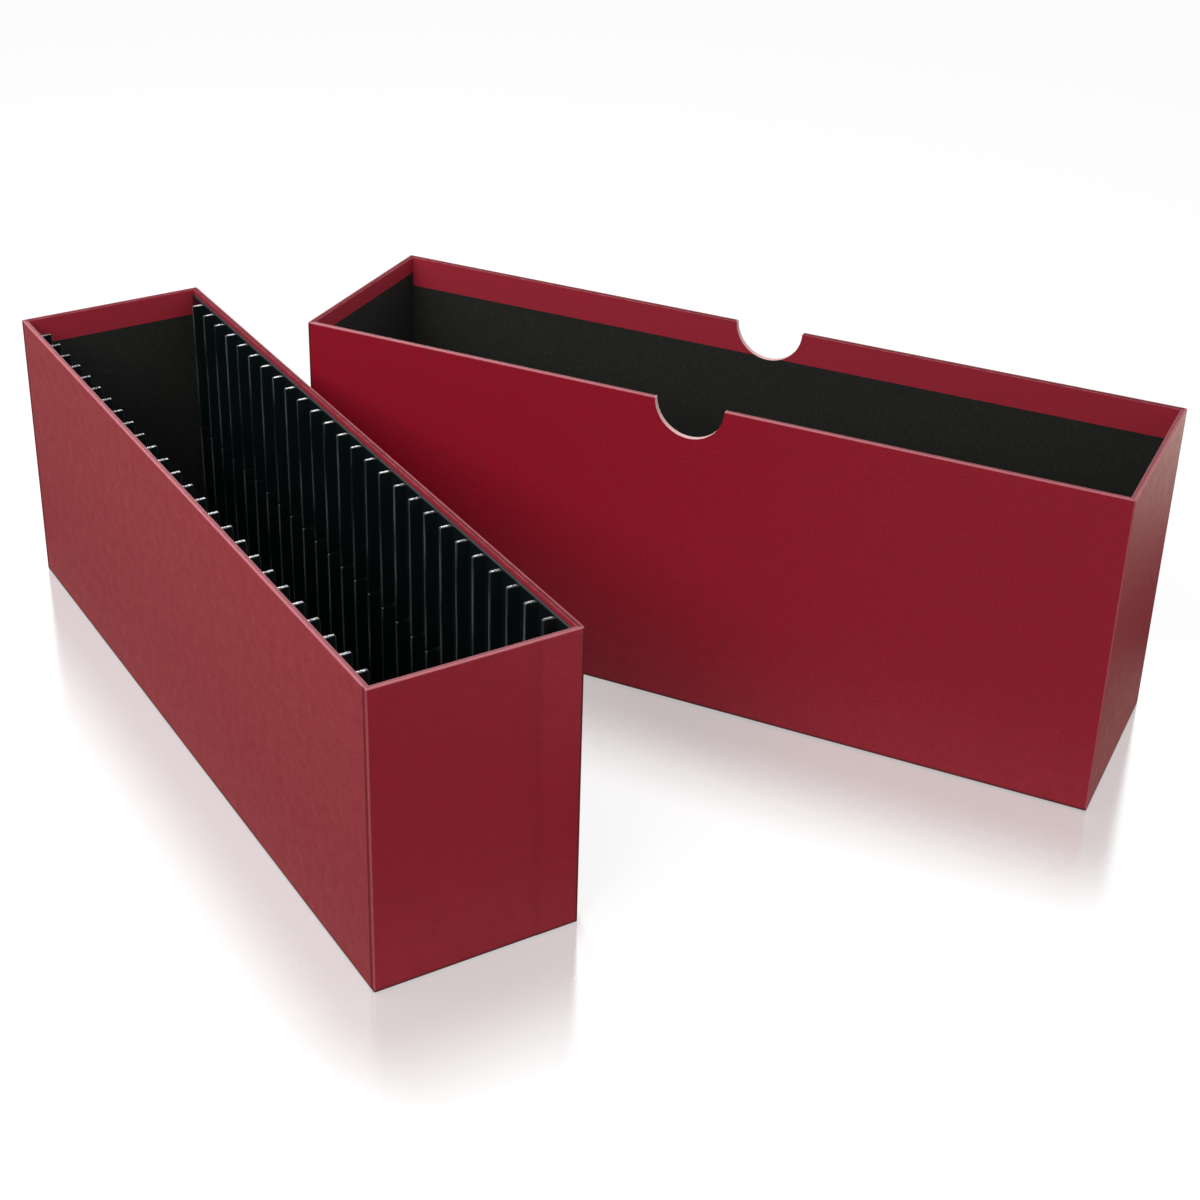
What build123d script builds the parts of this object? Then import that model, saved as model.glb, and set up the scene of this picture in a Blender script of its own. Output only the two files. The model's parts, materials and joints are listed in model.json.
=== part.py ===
from build123d import *
from dataclasses import dataclass
from math import cos, radians, sin
import os

# A storage box for graded cards: a tray with a ribbed rail on each long wall, and a full-depth cover
# that stands beside it with its mouth up. Millimetres, +Z up, +Y along the tray to its rear end.
# The origin is the centre of the tray's underside.

# Sheets that both boxes are made of
board_thickness = 2.0
wrap_thickness = 0.25
lining_thickness = 0.25
stay_thickness = 0.15

# Tray, measured over its paper
tray_width = 90.0
tray_length = 377.0
tray_height = 136.5
tray_turn_in = 13.0

# Cover: what it leaves free round the tray and above the tray's rim when it is on
cover_play = 1.5
cover_headroom = 11.75
cover_turn_in = 15.0
notch_radius = 16.25

# Where the cover stands: the corner nearest the tray, and the turn of its width from +X
cover_gap = 16.0
cover_from_rear = 98.7
cover_turn = 33.75

# Folds and laps of the paper
fold_radius = 0.8
rim_radius = 0.4
turn_under = 14.0
sheet_margin = 3.0
stay_reach = 12.0

# Ribbed rails, two high on each long wall
rib_count = 26
rib_reach = 5.5
rib_root_width = 2.2
rib_nose_width = 1.5
rib_nose_rise = 0.25
rib_end_step = 0.5
rib_end_fall = 0.7
rib_end_bevel = 1.2
panel_thickness = 1.0
rail_drop = 2.3
rail_end_gap = 0.3

# Levels and faces that follow from the sheets
board_outer = wrap_thickness
board_inner = wrap_thickness + board_thickness
wall_thickness = board_inner + max(wrap_thickness, lining_thickness)
board_foot = 2 * wrap_thickness
floor_level = board_foot + board_thickness
lined_floor = floor_level + lining_thickness


@dataclass
class Carton:
    """One wrapped box: the plane that it stands on, its outside sizes and its turned-in band."""

    plane: Plane
    width: float
    length: float
    height: float
    turn_in: float


def outline(carton, inset, radius=0.0, mode=Mode.ADD):
    """Plan of a box set in from its outer faces, drawn in the sketch that is open."""
    width, length = carton.width - 2 * inset, carton.length - 2 * inset
    if radius > 0:
        RectangleRounded(width, length, radius, mode=mode)
    else:
        Rectangle(width, length, mode=mode)


def block(carton, inset, low, high, radius=0.0, mode=Mode.ADD):
    """Upright block inside a box, between two heights."""
    with BuildSketch(carton.plane.offset(low)) as plan:
        outline(carton, inset, radius)
    extrude(plan.sketch, amount=high - low, mode=mode)


def end_board(carton):
    """Greyboard that closes the box, held between the four wall boards."""
    block(carton, board_inner, board_foot, floor_level)


def side_board(carton, side, stays):
    """Long wall's board, the full length of the box, cut back for the stays at its corners."""
    with BuildSketch(carton.plane.offset(board_foot)) as plan:
        outline(carton, board_outer, fold_radius - board_outer)
        with Locations((side * (carton.width - board_outer - board_inner) / 2, 0)):
            Rectangle(board_thickness, carton.length, mode=Mode.INTERSECT)
    extrude(plan.sketch, amount=carton.height - wrap_thickness - board_foot)
    add(stays, mode=Mode.SUBTRACT)


def short_board(carton, end, stays):
    """Short wall's board, held between the long walls."""
    with BuildSketch(carton.plane.offset(board_foot)) as plan:
        with Locations((0, end * (carton.length - board_outer - board_inner) / 2)):
            Rectangle(carton.width - 2 * board_inner, board_thickness)
    extrude(plan.sketch, amount=carton.height - wrap_thickness - board_foot)
    add(stays, mode=Mode.SUBTRACT)


def corner_stays(carton):
    """Four strips of tape folded round the upright corners, let into the boards."""
    middle_width = carton.width - 2 * (board_outer + stay_reach)
    middle_length = carton.length - 2 * (board_outer + stay_reach)
    with BuildSketch(carton.plane.offset(board_foot)) as plan:
        outline(carton, board_outer, fold_radius - board_outer)
        stay_inner = board_outer + stay_thickness
        outline(carton, stay_inner, fold_radius - stay_inner, mode=Mode.SUBTRACT)
        Rectangle(middle_width, carton.length, mode=Mode.SUBTRACT)
        Rectangle(carton.width, middle_length, mode=Mode.SUBTRACT)
    extrude(plan.sketch, amount=carton.height - wrap_thickness - board_foot)


def wall_wrap(carton):
    """Paper round the four walls, folded over the rim into the mouth and under the closed end."""
    under_rim = carton.height - wrap_thickness
    band_foot = carton.height - carton.turn_in
    block(carton, 0, wrap_thickness, carton.height, fold_radius)
    mouth_inset = board_inner + wrap_thickness
    block(carton, mouth_inset, board_foot, carton.height, mode=Mode.SUBTRACT)
    fillet(faces().sort_by(Axis.Z)[-1].edges(), rim_radius)
    board_radius = fold_radius - board_outer
    block(carton, board_outer, board_foot, band_foot, board_radius, mode=Mode.SUBTRACT)
    with BuildSketch(carton.plane.offset(band_foot)) as board_plan:
        outline(carton, board_outer, board_radius)
        outline(carton, board_inner, mode=Mode.SUBTRACT)
    extrude(board_plan.sketch, amount=under_rim - band_foot, mode=Mode.SUBTRACT)
    block(carton, turn_under, wrap_thickness, board_foot, mode=Mode.SUBTRACT)


def closing_sheet(carton):
    """Sheet over the turned-under margins, with the paste that levels it between them."""
    block(carton, sheet_margin, 0, wrap_thickness)
    block(carton, turn_under, wrap_thickness, board_foot)


def wall_lining(carton):
    """Black paper on the walls, from the closed end up to the turned-in band."""
    with BuildSketch(carton.plane.offset(floor_level)) as plan:
        outline(carton, board_inner)
        outline(carton, board_inner + lining_thickness, mode=Mode.SUBTRACT)
    extrude(plan.sketch, amount=carton.height - carton.turn_in - floor_level)


def end_lining(carton):
    """Black paper on the inside of the closed end."""
    block(carton, board_inner + lining_thickness, floor_level, lined_floor)


def thumb_notches(carton):
    """Half-round notch punched through both long walls at the middle of the rim."""
    rim_centre = carton.plane.from_local_coords((0, 0, carton.height))
    side_view = Plane(rim_centre, x_dir=carton.plane.y_dir, z_dir=carton.plane.x_dir)
    with BuildSketch(side_view) as punch:
        Circle(notch_radius)
    extrude(punch.sketch, amount=carton.width, both=True, mode=Mode.SUBTRACT)


os.makedirs("parts", exist_ok=True)

tray = Carton(Plane.XY, tray_width, tray_length, tray_height, tray_turn_in)

cover_width = tray_width + 2 * (cover_play + wall_thickness)
cover_length = tray_length + 2 * (cover_play + wall_thickness)
cover_height = tray_height + cover_headroom + lined_floor
cover_corner = Plane(
    origin=(tray_width / 2 + cover_gap, tray_length / 2 - cover_from_rear, 0),
    x_dir=(cos(radians(cover_turn)), sin(radians(cover_turn)), 0),
    z_dir=(0, 0, 1),
)
cover_middle = cover_corner.from_local_coords((cover_width / 2, -cover_length / 2, 0))
cover_plane = Plane(cover_middle, x_dir=cover_corner.x_dir, z_dir=cover_corner.z_dir)
cover = Carton(cover_plane, cover_width, cover_length, cover_height, cover_turn_in)

# Tray: stays first, because the wall boards are cut back for them
with BuildPart() as tray_corner_stays:
    corner_stays(tray)
tray_corner_stays.part.label = "tray_corner_stays"
export_step(tray_corner_stays.part, "parts/tray_corner_stays.step")

with BuildPart() as tray_floor_board:
    end_board(tray)
tray_floor_board.part.label = "tray_floor_board"
export_step(tray_floor_board.part, "parts/tray_floor_board.step")

with BuildPart() as tray_left_board:
    side_board(tray, -1, tray_corner_stays.part)
tray_left_board.part.label = "tray_left_board"
export_step(tray_left_board.part, "parts/tray_left_board.step")

with BuildPart() as tray_right_board:
    side_board(tray, 1, tray_corner_stays.part)
tray_right_board.part.label = "tray_right_board"
export_step(tray_right_board.part, "parts/tray_right_board.step")

with BuildPart() as tray_front_board:
    short_board(tray, -1, tray_corner_stays.part)
tray_front_board.part.label = "tray_front_board"
export_step(tray_front_board.part, "parts/tray_front_board.step")

with BuildPart() as tray_rear_board:
    short_board(tray, 1, tray_corner_stays.part)
tray_rear_board.part.label = "tray_rear_board"
export_step(tray_rear_board.part, "parts/tray_rear_board.step")

with BuildPart() as tray_wall_wrap:
    wall_wrap(tray)
tray_wall_wrap.part.label = "tray_wall_wrap"
export_step(tray_wall_wrap.part, "parts/tray_wall_wrap.step")

with BuildPart() as tray_base_sheet:
    closing_sheet(tray)
tray_base_sheet.part.label = "tray_base_sheet"
export_step(tray_base_sheet.part, "parts/tray_base_sheet.step")

with BuildPart() as tray_wall_lining:
    wall_lining(tray)
tray_wall_lining.part.label = "tray_wall_lining"
export_step(tray_wall_lining.part, "parts/tray_wall_lining.step")

with BuildPart() as tray_floor_lining:
    end_lining(tray)
tray_floor_lining.part.label = "tray_floor_lining"
export_step(tray_floor_lining.part, "parts/tray_floor_lining.step")

# Rails: one moulding, used four times. A back panel stands against the wall, and tapered ribs with rounded
# noses share out the length. The ribs' two ends are alike, so that it goes either way up on either side.
rail_height = (tray_height - rail_drop - lined_floor) / 2
rail_length = tray_length - 2 * (wall_thickness + rail_end_gap)
rib_pitch = (tray_length - 2 * wall_thickness) / (rib_count + 1)
rail_back = tray_width / 2 - wall_thickness
rib_nose = panel_thickness + rib_reach
nose_edge = rib_nose - rib_nose_rise


def rail(side, level):
    """Comb of ribs on one long wall, -1 left or 1 right. Level 0 stands on the floor, and 1 on level 0."""
    foot = Plane(
        origin=(side * rail_back, 0, lined_floor + level * rail_height),
        x_dir=(-side, 0, 0),
        z_dir=(0, 0, 1),
    )
    with BuildSketch(foot, mode=Mode.PRIVATE) as rib:
        with BuildLine():
            Polyline(
                (nose_edge, rib_nose_width / 2),
                (panel_thickness, rib_root_width / 2),
                (0, rib_root_width / 2),
                (0, -rib_root_width / 2),
                (panel_thickness, -rib_root_width / 2),
                (nose_edge, -rib_nose_width / 2),
            )
            ThreePointArc((nose_edge, -rib_nose_width / 2), (rib_nose, 0), (nose_edge, rib_nose_width / 2))
        make_face()
    with BuildSketch(foot) as comb:
        with Locations((panel_thickness / 2, 0)):
            Rectangle(panel_thickness, rail_length)
        with GridLocations(0, rib_pitch, 1, rib_count):
            add(rib.sketch_local)
    extrude(comb.sketch, amount=rail_height)
    # Each rib's end falls a little from the panel towards the middle, and its nose is bevelled
    end_view = Plane(foot.origin + Vector(0, 0, rail_height / 2), x_dir=foot.x_dir, z_dir=foot.y_dir)
    with BuildSketch(end_view) as past_ends:
        with BuildLine():
            Polyline(
                (panel_thickness, rail_height),
                (panel_thickness, rail_height / 2 - rib_end_step),
                (rib_nose - rib_end_bevel, rail_height / 2 - rib_end_step - rib_end_fall),
                (rib_nose, rail_height / 2 - rib_end_step - rib_end_fall - rib_end_bevel),
                (rib_nose + rib_reach, rail_height / 2 - rib_end_step - rib_end_fall - rib_end_bevel),
                (rib_nose + rib_reach, rail_height),
                close=True,
            )
        make_face()
        mirror(about=Plane.XZ)
    extrude(past_ends.sketch, amount=rail_length, both=True, mode=Mode.SUBTRACT)


with BuildPart() as left_rail:
    rail(-1, 1)
left_rail.part.label = "left_rail"
export_step(left_rail.part, "parts/left_rail.step")

with BuildPart() as left_lower_rail:
    rail(-1, 0)
left_lower_rail.part.label = "left_lower_rail"
export_step(left_lower_rail.part, "parts/left_lower_rail.step")

with BuildPart() as right_rail:
    rail(1, 1)
right_rail.part.label = "right_rail"
export_step(right_rail.part, "parts/right_rail.step")

with BuildPart() as right_lower_rail:
    rail(1, 0)
right_lower_rail.part.label = "right_lower_rail"
export_step(right_lower_rail.part, "parts/right_lower_rail.step")

# Cover: the same box a size up, with its long walls punched for the thumb
with BuildPart() as cover_corner_stays:
    corner_stays(cover)
cover_corner_stays.part.label = "cover_corner_stays"
export_step(cover_corner_stays.part, "parts/cover_corner_stays.step")

with BuildPart() as cover_closed_end_board:
    end_board(cover)
cover_closed_end_board.part.label = "cover_closed_end_board"
export_step(cover_closed_end_board.part, "parts/cover_closed_end_board.step")

with BuildPart() as cover_near_side_board:
    side_board(cover, -1, cover_corner_stays.part)
    thumb_notches(cover)
cover_near_side_board.part.label = "cover_near_side_board"
export_step(cover_near_side_board.part, "parts/cover_near_side_board.step")

with BuildPart() as cover_far_side_board:
    side_board(cover, 1, cover_corner_stays.part)
    thumb_notches(cover)
cover_far_side_board.part.label = "cover_far_side_board"
export_step(cover_far_side_board.part, "parts/cover_far_side_board.step")

with BuildPart() as cover_right_end_board:
    short_board(cover, -1, cover_corner_stays.part)
cover_right_end_board.part.label = "cover_right_end_board"
export_step(cover_right_end_board.part, "parts/cover_right_end_board.step")

with BuildPart() as cover_left_end_board:
    short_board(cover, 1, cover_corner_stays.part)
cover_left_end_board.part.label = "cover_left_end_board"
export_step(cover_left_end_board.part, "parts/cover_left_end_board.step")

with BuildPart() as cover_wall_wrap:
    wall_wrap(cover)
    thumb_notches(cover)
cover_wall_wrap.part.label = "cover_wall_wrap"
export_step(cover_wall_wrap.part, "parts/cover_wall_wrap.step")

with BuildPart() as cover_closed_end_sheet:
    closing_sheet(cover)
cover_closed_end_sheet.part.label = "cover_closed_end_sheet"
export_step(cover_closed_end_sheet.part, "parts/cover_closed_end_sheet.step")

with BuildPart() as cover_wall_lining:
    wall_lining(cover)
    thumb_notches(cover)
cover_wall_lining.part.label = "cover_wall_lining"
export_step(cover_wall_lining.part, "parts/cover_wall_lining.step")

with BuildPart() as cover_closed_end_lining:
    end_lining(cover)
cover_closed_end_lining.part.label = "cover_closed_end_lining"
export_step(cover_closed_end_lining.part, "parts/cover_closed_end_lining.step")
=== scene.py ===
from math import atan2, cos, pi, radians, sin, sqrt
import json

import bmesh
import bpy
from mathutils import Matrix, Vector


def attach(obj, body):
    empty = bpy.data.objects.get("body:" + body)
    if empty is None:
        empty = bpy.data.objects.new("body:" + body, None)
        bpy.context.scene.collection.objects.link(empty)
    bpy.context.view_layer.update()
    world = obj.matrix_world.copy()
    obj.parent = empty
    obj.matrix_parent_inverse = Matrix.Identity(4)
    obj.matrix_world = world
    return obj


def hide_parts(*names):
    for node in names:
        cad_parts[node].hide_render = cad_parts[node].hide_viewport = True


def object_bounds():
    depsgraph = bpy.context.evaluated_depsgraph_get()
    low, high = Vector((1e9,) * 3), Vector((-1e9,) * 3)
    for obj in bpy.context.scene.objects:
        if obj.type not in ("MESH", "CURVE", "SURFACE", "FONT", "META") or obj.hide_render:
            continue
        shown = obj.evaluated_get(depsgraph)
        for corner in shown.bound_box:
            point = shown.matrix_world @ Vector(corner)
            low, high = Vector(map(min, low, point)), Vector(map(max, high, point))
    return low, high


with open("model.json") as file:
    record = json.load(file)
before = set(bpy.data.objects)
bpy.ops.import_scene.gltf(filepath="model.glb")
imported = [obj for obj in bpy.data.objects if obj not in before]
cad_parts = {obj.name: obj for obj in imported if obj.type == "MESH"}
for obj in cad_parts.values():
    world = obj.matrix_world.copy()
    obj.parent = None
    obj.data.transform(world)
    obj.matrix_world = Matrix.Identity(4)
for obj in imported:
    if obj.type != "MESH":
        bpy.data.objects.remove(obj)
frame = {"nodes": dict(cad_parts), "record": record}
nodes = frame["nodes"]
cad_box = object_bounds()

# Board walls and closed ends of both boxes
# Dense pale board, 2 mm thick, pressed from pulped paper. The boards are sawn square, butted and taped,
# and show only where the thumb notches are punched through the cover.


def feed(tree, entry, value):
    """Links a node's input to a socket, or sets it to a plain number or colour."""
    if isinstance(value, bpy.types.NodeSocket):
        tree.links.new(value, entry)
    else:
        entry.default_value = value


def put(tree, kind, inputs=None, **settings):
    """Adds a shader or geometry node with its settings, and feeds its inputs."""
    node = tree.nodes.new(kind)
    for name, value in settings.items():
        setattr(node, name, value)
    for name, value in (inputs or {}).items():
        feed(tree, node.inputs[name], value)
    return node


def math(tree, operation, *values):
    """One sum on numbers or sockets, and its result."""
    return put(tree, "ShaderNodeMath", dict(enumerate(values)), operation=operation).outputs[0]


def blend_colours(tree, factor, first, second):
    """Mixes two colours by a mask."""
    mix = put(tree, "ShaderNodeMix", {"Factor": factor}, data_type="RGBA")
    for entry, colour in ((mix.inputs[6], first), (mix.inputs[7], second)):
        feed(tree, entry, (*colour, 1) if isinstance(colour, tuple) else colour)
    return mix.outputs[2]


def steps(tree, value, low, high, to_low=0.0, to_high=1.0):
    """Remaps a value between two limits, and holds it beyond them."""
    names = {"Value": value, "From Min": low, "From Max": high, "To Min": to_low, "To Max": to_high}
    return put(tree, "ShaderNodeMapRange", names).outputs[0]


def effect(name, inputs, outputs):
    """Starts a group of shader nodes with named inputs and outputs."""
    group = bpy.data.node_groups.new(name, "ShaderNodeTree")
    for title, value in inputs.items():
        kind = "NodeSocketVector" if value is None else "NodeSocketFloat"
        socket = group.interface.new_socket(title, in_out="INPUT", socket_type=kind)
        if value is not None:
            socket.default_value = value
    for title in outputs:
        group.interface.new_socket(title, in_out="OUTPUT", socket_type="NodeSocketFloat")
    start = group.nodes.new("NodeGroupInput")
    end = group.nodes.new("NodeGroupOutput")
    return group, start.outputs, end.inputs


def use(tree, group, inputs):
    """Places an effect in a material, and gives back its outputs."""
    return put(tree, "ShaderNodeGroup", inputs, node_tree=group).outputs


def new_finish(name):
    """An empty material, its tree and the place of each point on the piece."""
    finish = bpy.data.materials.new(name)
    finish.use_nodes = True
    tree = finish.node_tree
    tree.nodes.clear()
    return finish, tree, put(tree, "ShaderNodeTexCoord").outputs["Object"]


def surface(tree, height, relief, **sockets):
    """Closes a material with one Principled surface, with the relief as its bump."""
    inputs = {name.replace("_", " "): value for name, value in sockets.items()}
    bump = put(tree, "ShaderNodeBump", {"Height": height, "Distance": relief, "Strength": 1.0})
    inputs["Normal"] = bump.outputs["Normal"]
    shader = put(tree, "ShaderNodeBsdfPrincipled")
    for title, value in inputs.items():
        entry = next(s for s in shader.inputs if s.name.lower() == title.lower())
        feed(tree, entry, (*value, 1) if isinstance(value, tuple) else value)
    put(tree, "ShaderNodeOutputMaterial", {"Surface": shader.outputs[0]})


def noise(tree, place, scale, detail):
    """Soft noise between 0 and 1, with its scale in patches per metre."""
    settings = {"Vector": place, "Scale": scale, "Detail": detail}
    return put(tree, "ShaderNodeTexNoise", settings).outputs[0]


paper_fibres, given, made = effect("paper fibres", {"Place": None, "Fibre": 0.0006}, ["Mask", "Height"])
per_metre = math(paper_fibres, "DIVIDE", 0.3, given["Fibre"])
strands = []
for crossing in ((1, 5, 3), (4, 1, 2), (2, 3, 1)):
    squeezed = put(paper_fibres, "ShaderNodeVectorMath",
                   {0: given["Place"], 1: crossing}, operation="MULTIPLY")
    strands.append(noise(paper_fibres, squeezed.outputs[0], per_metre, detail=3.0))
matted = math(paper_fibres, "MAXIMUM", math(paper_fibres, "MAXIMUM", strands[0], strands[1]), strands[2])
paper_fibres.links.new(matted, made["Height"])
paper_fibres.links.new(steps(paper_fibres, matted, 0.55, 0.75), made["Mask"])

board_pale = (0.62, 0.41, 0.4)
board_dark = (0.42, 0.24, 0.24)
board_finish, tree, place = new_finish("pale board")
fibres = use(tree, paper_fibres, {"Place": place, "Fibre": 0.0008})
board_colour = blend_colours(tree, fibres["Mask"], board_pale, board_dark)
surface(tree, fibres["Height"], relief=0.00012, base_color=board_colour, roughness=0.85,
        specular_ior_level=0.3)

for name, node in nodes.items():
    if name.endswith("_board"):
        node.data.materials[0] = board_finish

# Corner stays
# Brown gummed paper tape, folded round each upright corner of the bare boards before they are wrapped.
# It holds the walls together and lies level with the boards under the wrap.

tape_brown = (0.36, 0.24, 0.13)
tape_dark = (0.24, 0.15, 0.08)
tape_finish, tree, place = new_finish("gummed brown tape")
fibres = use(tree, paper_fibres, {"Place": place, "Fibre": 0.001})
tape_colour = blend_colours(tree, fibres["Mask"], tape_brown, tape_dark)
surface(tree, fibres["Height"], relief=0.00004, base_color=tape_colour, roughness=0.6)

for name in ("tray_corner_stays", "cover_corner_stays"):
    nodes[name].data.materials[0] = tape_finish

# Tray's wall wrap
# Burgundy leather-grained paper in one long strip, glued round the four walls, folded over the rim into
# the mouth and turned under the base. Its end laps over its start at the right end of the front wall.

fold_radius = 0.0008
least_radius = 0.00008
rim_radius = 0.0004
foot_radius = 0.0003
beside_fold = 0.0008
turned_under = 0.014
mitre_depth = 0.00008
lap_width = 0.0165
lap_ramp = 0.0035
lap_height = 0.00014
past_corner = 0.72
crease_angle = radians(40)


def spans(node, stand):
    """Lowest and highest corner of a CAD node in its box's own frame."""
    to_box = stand.inverted()
    points = [to_box @ vertex.co for vertex in nodes[node].data.vertices]
    return Vector(map(min, zip(*points))), Vector(map(max, zip(*points)))


def ring(size, inset, lap, lift, creased):
    """Points round a box at one inset from its walls, counter-clockwise from above, with rounded corners."""
    corners = ((1, -1, -pi / 2), (1, 1, 0), (-1, 1, pi / 2), (-1, -1, pi))
    turns = 8
    points = []
    for number, (side, end, start) in enumerate(corners):
        places = [(start, -beside_fold, 1.0)]
        if number == lap:
            ramp = [(start, -lap_width - lap_ramp * (1 - share), share) for share in (0, 0.25, 0.5, 0.75, 1)]
            places = ramp + places
        for turn in range(turns + 1):
            places.append((start + pi / 2 * turn / turns, 0.0, 1 - turn / turns))
        places.append((start + pi / 2, beside_fold, 0.0))
        for angle, slide, share in places:
            raised = lift * (3 * share**2 - 2 * share**3) if number == lap else 0.0
            depth = inset - raised
            radius = max(fold_radius - depth, least_radius)
            x = side * (size.x / 2 - depth - radius) + radius * cos(angle) - slide * sin(angle)
            y = end * (size.y / 2 - depth - radius) + radius * sin(angle) + slide * cos(angle)
            middle = abs(angle - start - pi / 4) < 0.01
            on_end = abs(sin(angle)) > past_corner
            points.append((x, y, -creased if middle else 0.0, on_end))
    return points


def sleeve(name, stand, size, profile, finish, lap=None, raised=None, rise=0.0):
    """A closed sheet that runs round a box: its section, given as insets, heights, how far the lap lifts it
    and how far the mitres sink it, is carried round the ring. Points at the raised height stand higher by
    the rise on the two end walls."""
    mesh = bmesh.new()
    loops = []
    for inset, height, lift, creased in profile:
        outline = ring(size, inset, lap, lift, creased)
        at_ends = rise if height == raised else 0.0
        loops.append([mesh.verts.new(stand @ Vector((x, y, height + dip + at_ends * on_end)))
                      for x, y, dip, on_end in outline])
    for first, second in zip(loops, loops[1:] + loops[:1]):
        for j in range(len(first)):
            k = (j + 1) % len(first)
            mesh.faces.new((first[j], first[k], second[k], second[j]))
    return new_piece(name, mesh, finish)


def new_piece(name, mesh, finish):
    """Turns a bmesh into an object with outward faces, smooth over its small folds."""
    bmesh.ops.recalc_face_normals(mesh, faces=mesh.faces)
    data = bpy.data.meshes.new(name)
    mesh.to_mesh(data)
    mesh.free()
    data.materials.append(finish)
    data.shade_smooth()
    data.set_sharp_from_angle(angle=crease_angle)
    piece = bpy.data.objects.new(name, data)
    bpy.context.scene.collection.objects.link(piece)
    return piece


def fold(inset, height, radius, start, end, count):
    """Points of a rounded fold about a centre in the section, by angle."""
    angles = [start + (end - start) * j / count for j in range(count + 1)]
    return [(inset - radius * cos(a), height + radius * sin(a), 0.0, 0.0) for a in angles]


def wrap_section(size, wall, paper, turn_in):
    """Section of the wrap: outside face, rim, turned-in band, and back along the glued side."""
    band_foot = size.z - turn_in
    section = [(turned_under, paper, 0.0, 0.0), (foot_radius + beside_fold, paper, 0.0, 0.0)]
    section += fold(foot_radius, paper + foot_radius, foot_radius, -pi / 2, 0, 4)
    section = [(inset, height, lap_height, 0.0) if inset < foot_radius else (inset, height, 0.0, 0.0)
               for inset, height, _, _ in section]
    section.append((0.0, paper + foot_radius + beside_fold, lap_height, 0.0))
    section.append((0.0, size.z - rim_radius - beside_fold, lap_height, 0.0))
    section += fold(rim_radius, size.z - rim_radius, rim_radius, 0, pi / 2, 6)
    section += [(rim_radius + (wall - 2 * rim_radius) * share, size.z, 0.0, mitre_depth)
                for share in (0.25, 0.75)]
    section += fold(wall - rim_radius, size.z - rim_radius, rim_radius, pi / 2, pi, 6)
    for inset, height in ((wall, size.z - rim_radius - beside_fold), (wall, band_foot),
                          (wall - paper, band_foot), (wall - paper, size.z - paper),
                          (paper, size.z - paper), (paper, 2 * paper), (turned_under, 2 * paper)):
        section.append((inset, height, 0.0, 0.0))
    return section


pebble = 0.0007
leather_grain, given, made = effect("leather grain", {"Place": None, "Pebble": pebble},
                                    ["Height", "Mottle", "Speckle"])
per_pebble = math(leather_grain, "DIVIDE", 1.0, given["Pebble"])
pebbles = put(leather_grain, "ShaderNodeTexVoronoi",
              {"Vector": given["Place"], "Scale": per_pebble}, feature="SMOOTH_F1")
domes = math(leather_grain, "SUBTRACT", 1.0, pebbles.outputs["Distance"])
patches = {}
for title, against_pebbles, detail in (("creases", 2.7, 4.0), ("clouds", 0.11, 5.0), ("specks", 0.6, 2.0)):
    scale = math(leather_grain, "MULTIPLY", per_pebble, against_pebbles)
    patches[title] = noise(leather_grain, given["Place"], scale, detail)
cracks = math(leather_grain, "MULTIPLY", patches["creases"], 0.5)
feed(leather_grain, made["Height"], math(leather_grain, "ADD", domes, cracks))
feed(leather_grain, made["Mottle"], steps(leather_grain, patches["clouds"], 0.3, 0.7))
feed(leather_grain, made["Speckle"], steps(leather_grain, patches["specks"], 0.32, 0.68))

# Where each kind of rubbing, painted shade and painted light begins and where it is full, in metres from
# its fold, wall or level.
past_middle = (0.001, -0.001)
rim_limits = (0.0003, 0.0)
wall_limits = (0.0005, 0.0003)
corner_shade_limits = (0.0009, 0.0003)
crease_shade_limits = (0.0013, 0.0007)
seam_shade_limits = (0.0028, 0.0004)
foot_shade_limits = (0.0019, 0.0008)
mouth_limits = (-0.0003, -0.0001)
fold_core = 0.00023
inner_fold_spared = 0.0002
no_seam = 9.0

# Along the rubbed and lit folds the limits are shares of their own uneven reach, and distance across the rim
# counts less. The place of the crease's painted shade is in corner radii.
ridge_shares = (0.75, 0.15)
rim_fold_shares = (1.0, 0.15)
across_rim = 0.45
crease_from_corner = 2.6

fold_marks_group, given, made = effect(
    "rubbing, light and shade along folds",
    {"Place": None, "Half Width": 0.045, "Half Length": 0.19, "Height": 0.14, "Wall": 0.0025,
     "Reach": 0.00035, "Corner": fold_radius, "Seam": no_seam},
    ["Edge", "Rim", "Far Rim", "Ridge", "Corner Shade", "Crease", "Foot", "Inside", "Seam"])


def fold_sum(operation, *values):
    """One sum inside the group of fold rubbing and painted light and shade."""
    return math(fold_marks_group, operation, *values)


xyz = put(fold_marks_group, "ShaderNodeSeparateXYZ", {"Vector": given["Place"]}).outputs
from_side = fold_sum("SUBTRACT", given["Half Width"], fold_sum("ABSOLUTE", xyz["X"]))
from_end = fold_sum("SUBTRACT", given["Half Length"], fold_sum("ABSOLUTE", xyz["Y"]))
from_rim = fold_sum("SUBTRACT", given["Height"], xyz["Z"])
nearest = fold_sum("MINIMUM", from_side, from_end)
into_mouth = fold_sum("SUBTRACT", nearest, given["Wall"])
ridge_offset = fold_sum("MULTIPLY", given["Corner"], 2 - sqrt(2))
to_upright = fold_sum("ABSOLUTE", fold_sum("SUBTRACT", fold_sum("ADD", from_side, from_end), ridge_offset))
to_outer_rim = fold_sum("ADD", fold_sum("MULTIPLY", nearest, across_rim), from_rim)
to_inner_rim = fold_sum("ADD", fold_sum("ABSOLUTE", into_mouth), from_rim)
off_fold = fold_sum("MINIMUM", to_outer_rim, fold_sum("ADD", to_inner_rim, inner_fold_spared))
to_rim_fold = fold_sum("MAXIMUM", fold_sum("SUBTRACT", off_fold, fold_core), 0.0)
patchy = noise(fold_marks_group, given["Place"], scale=260.0, detail=4.0)
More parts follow.
